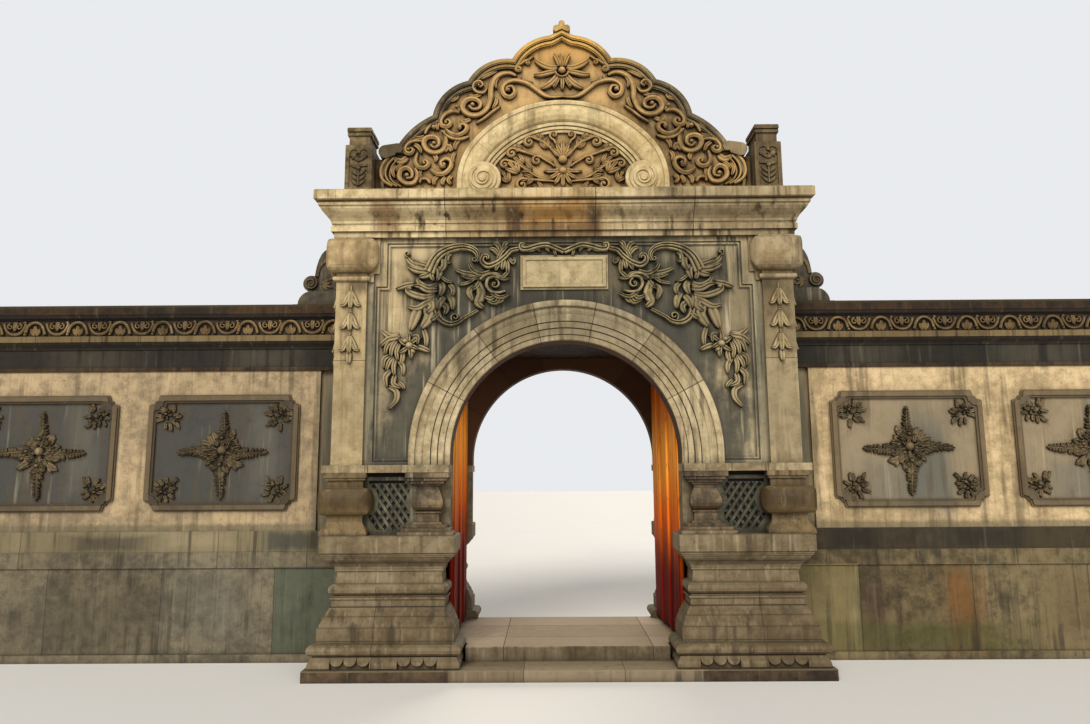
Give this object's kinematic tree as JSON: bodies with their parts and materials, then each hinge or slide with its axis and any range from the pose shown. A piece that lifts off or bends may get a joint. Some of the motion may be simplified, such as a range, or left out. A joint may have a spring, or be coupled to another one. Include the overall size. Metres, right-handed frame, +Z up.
{
  "type": "arched stone gateway",
  "caption": "Carved stone gateway with a moulded arch, pedestals, balusters, a lobed pediment and plank leaves on pivots, in a panelled garden wall",
  "frame": {"origin": "at ground level, on the axis of the passage, halfway through the gate", "axes": "+X along the garden wall, to the right as seen from the front; the front faces -Y; +Z up"},
  "size_m": [12.62, 2.128, 6.5529],
  "materials": {
    "pale_marble": "honed, weathered",
    "dark_carved_stone": "carved, dark with weathering",
    "slate_stone": "carved, dark with weathering",
    "core_stone": "plain dressed",
    "wall_plaster": "rubbed render",
    "dado_stone": "dressed, mossy",
    "coping_stone": "dressed, weathered",
    "red_planks": "painted, worn"
  },
  "bodies": {
    "gate": {"base_slab": "pale_marble", "passage_floor": "pale_marble", "left_pedestal": "pale_marble", "right_pedestal": "pale_marble", "left_jamb_wall": "core_stone", "right_jamb_wall": "core_stone", "left_bulb_blocks": "pale_marble", "right_bulb_blocks": "pale_marble", "left_balusters": "pale_marble", "right_balusters": "pale_marble", "left_lattice_panels": "slate_stone", "right_lattice_panels": "slate_stone", "left_impost": "pale_marble", "right_impost": "pale_marble", "left_core_wall": "core_stone", "right_core_wall": "core_stone", "front_arch_ring": "pale_marble", "rear_arch_ring": "pale_marble", "front_left_spandrel": "slate_stone", "front_right_spandrel": "slate_stone", "rear_left_spandrel": "slate_stone", "rear_right_spandrel": "slate_stone", "chamber_ceiling": "core_stone", "front_plaque": "pale_marble", "left_pilasters": "pale_marble", "right_pilasters": "pale_marble", "left_capitals": "pale_marble", "right_capitals": "pale_marble", "cornice": "pale_marble", "pediment": "dark_carved_stone", "pediment_coping": "dark_carved_stone", "front_scroll_band": "pale_marble", "rear_scroll_band": "pale_marble", "finials": "pale_marble", "left_corner_posts": "dark_carved_stone", "right_corner_posts": "dark_carved_stone", "left_wall_dado": "dado_stone", "left_wall_field": "wall_plaster", "left_wall_coping": "coping_stone", "right_wall_dado": "dado_stone", "right_wall_field": "wall_plaster", "right_wall_coping": "coping_stone", "left_console": "dark_carved_stone", "right_console": "dark_carved_stone", "pivot_stones": "core_stone"},
    "left_leaf_body": {"left_leaf": "red_planks"},
    "right_leaf_body": {"right_leaf": "red_planks"}
  },
  "joints": [
    {"name": "left_leaf_hinge", "type": "hinge", "parent": "gate", "child": "left_leaf_body", "pos_m": [-1.12, -0.5, 0.275], "axis": [0, 0, -1], "range_deg": [0, 90]},
    {"name": "right_leaf_hinge", "type": "hinge", "parent": "gate", "child": "right_leaf_body", "pos_m": [1.12, -0.5, 0.275], "axis": [0, 0, 1], "range_deg": [-4, 86]}
  ]
}
